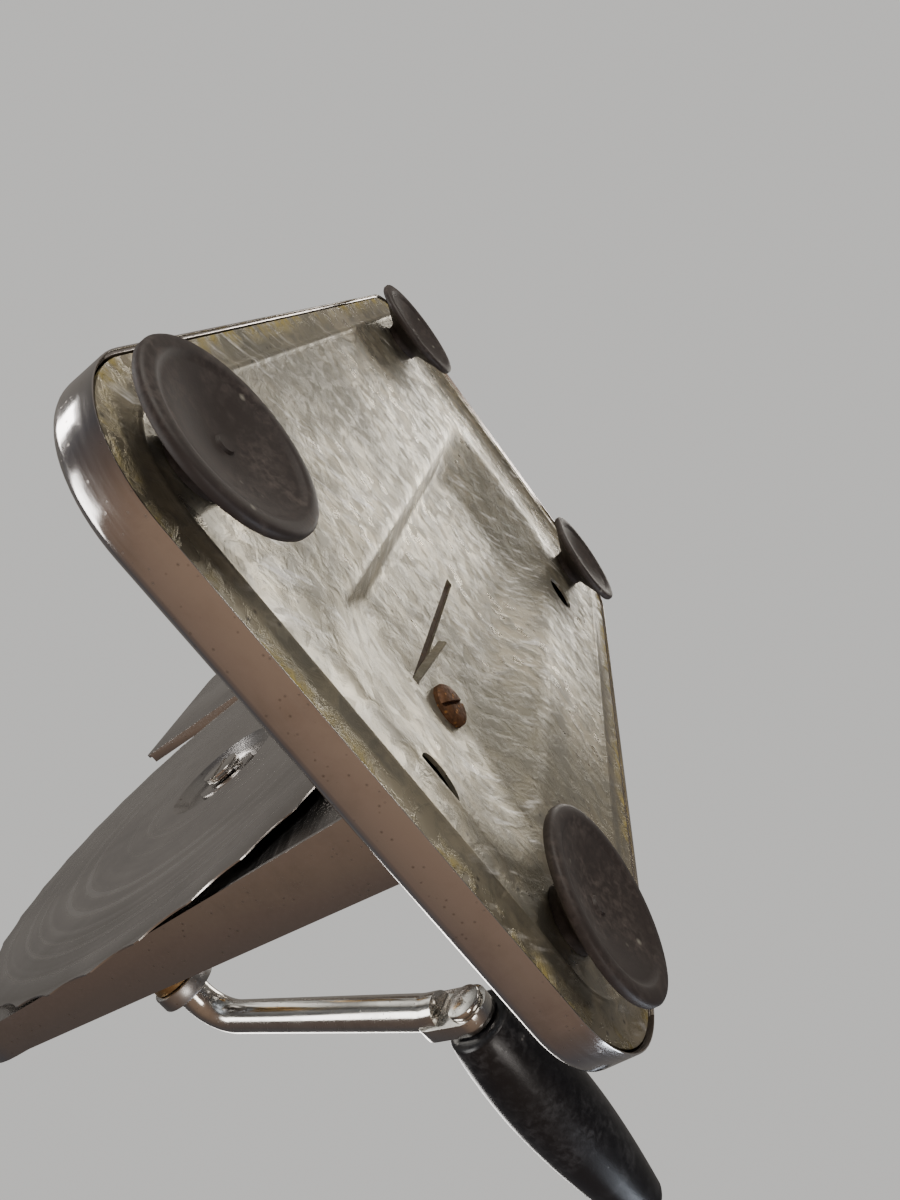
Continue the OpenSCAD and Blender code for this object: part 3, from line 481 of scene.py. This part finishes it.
# ---------------------------------------------------------------------------
# Suction feet. Moulded black rubber cups with a thin lip and a waisted neck
# that snaps into the bottom plate. The rubber is dull, dusty and scuffed.
# ---------------------------------------------------------------------------
def turned(rings, sides=64):
    """A piece turned on a lathe: rings of (radius, height) up its axis, closed at both ends."""
    fresh()
    bpy.ops.mesh.primitive_circle_add(vertices=sides, radius=rings[0][0], location=(0, 0, 0))
    piece = bpy.context.object
    bpy.ops.object.mode_set(mode="EDIT")
    bpy.ops.mesh.select_mode(type="EDGE")
    bpy.ops.mesh.select_all(action="SELECT")
    bpy.ops.transform.translate(value=(0, 0, rings[0][1]))
    for (r0, z0), (r1, z1) in zip(rings, rings[1:]):
        bpy.ops.mesh.extrude_edges_move(TRANSFORM_OT_translate={"value": (0, 0, z1 - z0)})
        bpy.ops.transform.resize(value=(r1 / r0, r1 / r0, 1), center_override=(0, 0, z1))
    bpy.ops.mesh.select_all(action="SELECT")
    bpy.ops.mesh.fill_holes(sides=0)
    bpy.ops.mesh.normals_make_consistent(inside=False)
    fresh()
    return piece


def moulded(name, clean, dusty, rough, dust, scuffs, depth=0.00004, **fixed):
    """Rubber or plastic with dust, fine scuffs and a slight orange-peel skin. dust is (scale, low, high); scuffs is
    (scale, size, share, colour)."""
    made, tree = blank(name)
    place = wire(tree, "ShaderNodeTexCoord").outputs["Object"]
    film = placed(tree, STAINS, {"Vector": place, "Scale": dust[0], "Low": dust[1], "High": dust[2]})
    grit = placed(tree, STAINS, {"Vector": place, "Scale": dust[0] * 9, "Low": 0.42, "High": 0.72})
    marks = placed(tree, SPECKS, {"Vector": place, "Scale": scuffs[0], "Size": scuffs[1], "Share": scuffs[2]})
    skin = wire(tree, "ShaderNodeTexNoise", {"Vector": place, "Scale": 1500.0, "Detail": 3.0}).outputs[0]
    veil = wire(tree, "ShaderNodeMath", {0: film, 1: grit}, operation="MULTIPLY").outputs[0]
    tone = mixed(tree, veil, (*clean, 1), (*dusty, 1))
    tone = mixed(tree, marks, tone, (*scuffs[3], 1))
    sheen = wire(tree, "ShaderNodeMapRange", {"Value": veil, "To Min": rough[0], "To Max": rough[1]}).outputs[0]
    relief = wire(tree, "ShaderNodeMath", {0: marks, 1: 0.8, 2: skin}, operation="MULTIPLY_ADD").outputs[0]
    bump = wire(tree, "ShaderNodeBump", {"Height": relief, "Strength": 0.5, "Distance": depth}).outputs[0]
    shader = wire(tree, "ShaderNodeBsdfPrincipled", {"Base Color": tone, "Roughness": sheen, "Normal": bump, **fixed})
    wire(tree, "ShaderNodeOutputMaterial", {"Surface": shader.outputs[0]})
    return made


RUBBER = moulded("rubber", (0.040, 0.031, 0.029), (0.14, 0.115, 0.105), (0.55, 0.85), (60, 0.4, 0.66),
                 (230, 0.22, 0.10, (0.34, 0.33, 0.28)))
CUP_RINGS = [
    (0.6, 3.0), (1.9, 2.9), (2.3, 3.5), (3.4, 3.5), (6, 3.3), (9, 2.75), (13, 1.9), (16.4, 1.0), (17.3, 0.95), (18.1, 0.3),
    (19.1, 0.04), (20.9, 0.04), (21.6, 0.3), (21.95, 0.8), (21.95, 2.0), (21.5, 2.6), (20.2, 2.85), (17.5, 4.0), (14, 5.6),
    (11, 7.0), (9.2, 7.7), (8.4, 8.4), (8.0, 9.2), (7.9, 10.7), (5.2, 10.7), (5.0, 11.9), (6.5, 11.9), (5.6, 14.8), (1, 15.4),
]
for node in ("foot_rear_left", "foot_rear_right", "foot_front_left", "foot_front_right"):
    cup = turned([(r / 1000, z / 1000) for r, z in CUP_RINGS], sides=72)
    low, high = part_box(node)
    cup.location = ((low.x + high.x) / 2, (low.y + high.y) / 2, 0)
    cup.rotation_euler.z = low.y * 9
    finished(cup, node + "_cup", RUBBER, [node], angle=40)


# ---------------------------------------------------------------------------
# Base screws. Slotted steel screws that hold the upright and the gauge's
# block down from inside the base. They have rusted.
# ---------------------------------------------------------------------------
RUST = plated("rusted_steel", (0.17, 0.075, 0.03), (0.045, 0.028, 0.018), (0.5, 0.85), (150, 0.3, 0.5),
              (800, 0.4, 0.3, (0.55, 0.26, 0.07)), (300, 300, 300), 0.00006, metallic=0.35)
screws = []
for x, y, under, length, wide in ((0.0164, 0.085, FLOOR_Z, 0.0072, 1.43), (*EAR_SCREW, TOP_Z - SHELL_T, 0.006, 1),
                                  (*SUPPORT_SCREW, TOP_Z - SHELL_T, 0.009, 1)):
    head = turned([(r / 1000, under + z / 1000) for r, z in
                   ((1.2 * wide, -2.38), (2.8 * wide, -2.3), (3.7 * wide, -1.9), (4.15 * wide, -1.2), (4.2 * wide, -0.05),
                    (2.35, 0), (2.35, length * 1000))], sides=40)
    head.location = (x, y, 0)
    fresh()
    bpy.ops.mesh.primitive_cube_add(size=1, location=(x, y, under - 0.0024), scale=(0.0011, 0.014, 0.0024),
                                    rotation=(0, 0, 0.5))
    hole(head, bpy.context.object)
    screws.append(head)
fresh()
for head in screws:
    head.select_set(True)
bpy.context.view_layer.objects.active = screws[0]
bpy.ops.object.join()
finished(screws[0], "rusty_screws", RUST, ["base_screws"])


# ---------------------------------------------------------------------------
# Upright. Polished stainless sheet, folded to a flange round its edge, with a
# dished well for the blade's hub and an ear that is screwed to the base.
# ---------------------------------------------------------------------------
def dressed(node, material, ease=0.0003, angle=32):
    """The node's own shape as one clean mesh with eased edges."""
    fresh()
    piece = bpy.data.objects.new(node + "_piece", frame["nodes"][node].data.copy())
    bpy.context.scene.collection.objects.link(piece)
    piece.select_set(True)
    bpy.context.view_layer.objects.active = piece
    bpy.ops.object.mode_set(mode="EDIT")
    bpy.ops.mesh.select_all(action="SELECT")
    bpy.ops.mesh.remove_doubles(threshold=0.000004)
    bpy.ops.mesh.customdata_custom_splitnormals_clear()
    bpy.ops.mesh.dissolve_limited(angle_limit=math.radians(0.4))
    fresh()
    if ease:
        soft = piece.modifiers.new("soft", "BEVEL")
        soft.width = ease
        soft.segments = 2
        soft.limit_method = "ANGLE"
        soft.angle_limit = math.radians(40)
    return finished(piece, node + "_piece", material, [node], angle=angle)


STAINLESS = plated("stainless_sheet", (0.60, 0.58, 0.56), (0.36, 0.34, 0.32), (0.14, 0.30), (22, 0.42, 0.72),
                   (700, 0.3, 0.14, (0.22, 0.19, 0.16)), (900, 40, 900), 0.000012)
dressed("upright_front", STAINLESS, 0.00035)
PLAIN = plated("plain_steel", (0.48, 0.47, 0.46), (0.22, 0.20, 0.18), (0.28, 0.5), (45, 0.4, 0.7),
               (800, 0.34, 0.2, (0.2, 0.12, 0.07)), (500, 500, 500), 0.000015)
for node in ("foot_bar", "cover_posts"):
    dressed(node, PLAIN)


# ---------------------------------------------------------------------------
# Gear cover. A flat galvanised sheet inside the upright's flange. It is held
# by four screws into posts, and it carries the two bronze bearings.
# ---------------------------------------------------------------------------
COVER = plated("cover_sheet", (0.50, 0.51, 0.50), (0.33, 0.33, 0.32), (0.33, 0.5), (18, 0.4, 0.7),
               (500, 0.3, 0.12, (0.2, 0.18, 0.16)), (60, 600, 300), 0.00002)
dressed("gear_cover", COVER)
dressed("cover_screws", PLAIN, 0.00015)
BRONZE = plated("bronze", (0.62, 0.42, 0.20), (0.28, 0.17, 0.09), (0.24, 0.48), (70, 0.4, 0.7),
                (900, 0.3, 0.15, (0.14, 0.09, 0.05)), (900, 200, 200), 0.00001)
for node in ("front_bushing", "rear_bushing", "crank_bushing"):
    dressed(node, BRONZE, 0.0003)


# ---------------------------------------------------------------------------
# Blade. Hardened stainless disc, ground in circles, with a scalloped edge and
# a pressed cup at its middle where a washer and a slotted screw hold it.
# ---------------------------------------------------------------------------
BLADE_AXIS = (0, 0.04, 0.1141)


def ground_disc():
    """Steel ground in circles about the blade's axis, with cloudy patches and a few stains."""
    made, tree = blank("blade_steel")
    place = wire(tree, "ShaderNodeTexCoord").outputs["Object"]
    centred = wire(tree, "ShaderNodeMapping", {"Vector": place, "Location": [-c for c in BLADE_AXIS]}).outputs[0]
    flat = wire(tree, "ShaderNodeVectorMath", {0: centred, 1: (0, 1, 1)}, operation="MULTIPLY").outputs[0]
    radius = wire(tree, "ShaderNodeVectorMath", {0: flat}, operation="LENGTH").outputs["Value"]
    rings_at = wire(tree, "ShaderNodeMath", {0: radius, 1: 3200.0}, operation="MULTIPLY").outputs[0]
    rings = wire(tree, "ShaderNodeTexNoise", {"W": rings_at, "Scale": 1.0, "Detail": 3.0, "Roughness": 0.7}, noise_dimensions="1D").outputs[0]
    bands_at = wire(tree, "ShaderNodeMath", {0: radius, 1: 260.0}, operation="MULTIPLY").outputs[0]
    bands = wire(tree, "ShaderNodeTexNoise", {"W": bands_at, "Scale": 1.0, "Detail": 2.0}, noise_dimensions="1D").outputs[0]
    clouds = placed(tree, STAINS, {"Vector": place, "Scale": 28.0, "Low": 0.4, "High": 0.72})
    spots = placed(tree, SPECKS, {"Vector": place, "Scale": 500.0, "Size": 0.28, "Share": 0.08})
    tone = mixed(tree, clouds, (0.58, 0.56, 0.54, 1), (0.42, 0.40, 0.38, 1))
    tone = mixed(tree, spots, tone, (0.18, 0.15, 0.13, 1))
    sheen = wire(tree, "ShaderNodeMapRange", {"Value": bands, "From Min": 0.3, "From Max": 0.7, "To Min": 0.17,
                                              "To Max": 0.30}).outputs[0]
    bump = wire(tree, "ShaderNodeBump", {"Height": rings, "Strength": 0.5, "Distance": 0.00003}).outputs[0]
    shader = wire(tree, "ShaderNodeBsdfPrincipled", {"Base Color": tone, "Metallic": 1.0, "Roughness": sheen,
                                                     "Normal": bump})
    wire(tree, "ShaderNodeOutputMaterial", {"Surface": shader.outputs[0]})
    return made


BLADE_STEEL = ground_disc()
dressed("blade", BLADE_STEEL, 0, angle=20)
NICKEL = plated("nickel_plate", (0.72, 0.70, 0.66), (0.42, 0.39, 0.35), (0.10, 0.26), (55, 0.42, 0.7),
                (1100, 0.32, 0.2, (0.24, 0.20, 0.16)), (200, 200, 200), 0.000008)
dressed("blade_washer", STAINLESS, 0.0003)
dressed("blade_screw", NICKEL, 0.0003)
dressed("blade_shaft", PLAIN)
dressed("shaft_nut", PLAIN, 0.0004)


# ---------------------------------------------------------------------------
# Gears. Cut steel, greased: a large one on the crank drives the small one on
# the blade's shaft at twice its speed.
# ---------------------------------------------------------------------------
GEAR_STEEL = plated("gear_steel", (0.36, 0.35, 0.33), (0.10, 0.085, 0.06), (0.30, 0.42), (120, 0.38, 0.62),
                    (1400, 0.3, 0.2, (0.10, 0.07, 0.04)), (800, 200, 200), 0.00002)
for node in ("blade_pinion", "crank_gear"):
    dressed(node, GEAR_STEEL, 0.0002)


# ---------------------------------------------------------------------------
# Crank arm. One nickel-plated steel rod, bent at the top and milled flat at
# its end, where a rivet holds the handle's pin. A collar keeps it in its
# bearing.
# ---------------------------------------------------------------------------
CRANK_AXIS, CRANK_REST = (0, 0.081111, 0.145532), math.radians(17.3)
ROD_R, CRANK_L, ARM_X, TAB_X, TAB_FROM, BEND_R = 0.00475, 0.0927, 0.064, 0.0783, 0.014, 0.012
knee = CRANK_L - TAB_FROM
slant = math.atan((TAB_X - ARM_X) / knee)
lead = BEND_R * math.tan((math.pi / 2 - slant) / 2)
back_bend = 0.016


def on_crank(piece):
    """Turns a piece made with the arm straight down to the crank's place and rest angle."""
    piece.location = CRANK_AXIS
    piece.rotation_euler = (CRANK_REST, 0, 0)
    apply_all(piece)


fresh()
bpy.ops.mesh.primitive_circle_add(vertices=48, radius=ROD_R, location=(0.0138, 0, 0), rotation=(0, math.pi / 2, 0))
arm = bpy.context.object
apply_all(arm)
bpy.ops.object.mode_set(mode="EDIT")
bpy.ops.mesh.select_mode(type="EDGE")
bpy.ops.mesh.select_all(action="SELECT")
bpy.ops.mesh.extrude_edges_move(TRANSFORM_OT_translate={"value": (ARM_X - lead - 0.0138, 0, 0)})
bpy.ops.mesh.spin(steps=16, angle=math.pi / 2 - slant, center=(ARM_X - lead, 0, -BEND_R), axis=(0, -1, 0))
way = Vector((math.sin(slant), 0, -math.cos(slant)))
run = knee / math.cos(slant) - lead - back_bend * math.tan(slant / 2)
bpy.ops.mesh.extrude_edges_move(TRANSFORM_OT_translate={"value": way * run})
corner = Vector((ARM_X - lead, 0, -BEND_R)) + BEND_R * Vector((math.cos(slant), 0, math.sin(slant))) + way * run
bpy.ops.mesh.spin(steps=4, angle=slant, center=corner - back_bend * Vector((math.cos(slant), 0, math.sin(slant))),
                  axis=(0, -1, 0))
bpy.ops.mesh.extrude_edges_move(TRANSFORM_OT_translate={"value": (0, 0, -0.0042)})
bpy.ops.mesh.select_all(action="SELECT")
bpy.ops.mesh.fill_holes(sides=0)
bpy.ops.mesh.normals_make_consistent(inside=False)
fresh()
bpy.ops.mesh.primitive_cylinder_add(vertices=64, radius=0.0062, depth=0.0042,
                                    location=(TAB_X + 0.0021, 0, -CRANK_L), rotation=(0, math.pi / 2, 0))
eye = bpy.context.object
apply_all(eye)
bpy.ops.object.mode_set(mode="EDIT")
pick("VERT", lambda v: v.co.z > -CRANK_L)
bpy.ops.transform.translate(value=(0, 0, 0.0108))
fresh()
weld = arm.modifiers.new("weld", "BOOLEAN")
weld.operation = "UNION"
weld.solver = "EXACT"
weld.object = eye
apply_all(arm)
bpy.data.objects.remove(eye)
soft = arm.modifiers.new("soft", "BEVEL")
soft.width = 0.0004
soft.segments = 3
soft.limit_method = "ANGLE"
soft.angle_limit = math.radians(35)
on_crank(arm)
finished(arm, "crank_rod", NICKEL, ["crank_arm"], angle=38)
dressed("crank_collar", PLAIN, 0.0004)


# ---------------------------------------------------------------------------
# Crank handle. Turned black plastic, swelling towards its middle, that spins
# on a steel pin riveted to the arm. Its arm end is scuffed white.
# ---------------------------------------------------------------------------
HANDLE_X, HANDLE_L, HANDLE_R = 0.08335, 0.0766, 0.012
half = lambda u: HANDLE_R * (0.78 + 0.22 * math.sin(math.pi * u ** 0.8) - 0.16 * u ** 3)
body = [(half(k / 28), 0.001 + k / 28 * (HANDLE_L - 0.004)) for k in range(29)]
end = [(half(1) - 0.003 * (1 - math.cos(a)), HANDLE_L - 0.003 * (1 - math.sin(a)))
       for a in map(math.radians, (18, 36, 54, 72, 88))]
grip = turned([(0.0031, 0.0), (0.0079, 0.0), (0.0086, 0.0003), (half(0) - 0.0001, 0.0008)] + body + end
              + [(0.0058, HANDLE_L), (0.0057, HANDLE_L - 0.0037), (0.0031, HANDLE_L - 0.0038)], sides=72)
BLACK = moulded("black_plastic", (0.012, 0.012, 0.014), (0.085, 0.085, 0.09), (0.28, 0.55), (55, 0.4, 0.68),
                (420, 0.2, 0.08, (0.30, 0.30, 0.29)))
grip.rotation_euler = (0, math.pi / 2, 0)
grip.location = (HANDLE_X, 0, -CRANK_L)
apply_all(grip)
on_crank(grip)
finished(grip, "crank_grip", BLACK, ["crank_handle"], angle=40)
dressed("handle_pin", NICKEL, 0.0004)


# ---------------------------------------------------------------------------
# Thickness gauge. A stainless plate stands ahead of the blade on two guide
# rods. Its knob turns a screw in the cast block behind, which sets the slice.
# ---------------------------------------------------------------------------
dressed("gauge_plate", STAINLESS, 0.0004)
CAST = plated("cast_alloy", (0.46, 0.455, 0.44), (0.28, 0.27, 0.26), (0.42, 0.6), (60, 0.38, 0.66),
              (1300, 0.4, 0.5, (0.22, 0.21, 0.2)), (700, 700, 700), 0.00004)
for node in ("gauge_carrier", "gauge_support"):
    dressed(node, CAST, 0.0007)
for node in ("gauge_rods", "gauge_spindle"):
    dressed(node, NICKEL, 0.0004)
dressed("gauge_knob", BLACK, 0.0006)


# ---------------------------------------------------------------------------
# Carriage. A stainless tray with a fence slides on one bright rail at the
# left and on a nylon pad at the right.
# ---------------------------------------------------------------------------
dressed("tray", STAINLESS, 0.0006)
dressed("carriage_rail", NICKEL, 0.0005)
for node in ("rail_posts", "carriage_slider", "pusher_brackets"):
    dressed(node, CAST, 0.0007)
for node in ("rail_screws", "tray_screws"):
    dressed(node, PLAIN, 0.0002)
NYLON = moulded("nylon", (0.62, 0.60, 0.54), (0.46, 0.43, 0.37), (0.42, 0.6), (50, 0.4, 0.68),
                (500, 0.25, 0.1, (0.3, 0.27, 0.22)))
dressed("tray_glide", NYLON, 0.0005)


# ---------------------------------------------------------------------------
# Pusher. A sheet plate on a block that slides across the tray on a bright
# rod, pushed by a black knob.
# ---------------------------------------------------------------------------
dressed("pusher_rod", NICKEL, 0.0004)
dressed("pusher_block", CAST, 0.0008)
dressed("pusher_plate", STAINLESS, 0.0005)
dressed("pusher_knob", BLACK, 0, angle=50)

bpy.context.view_layer.update()
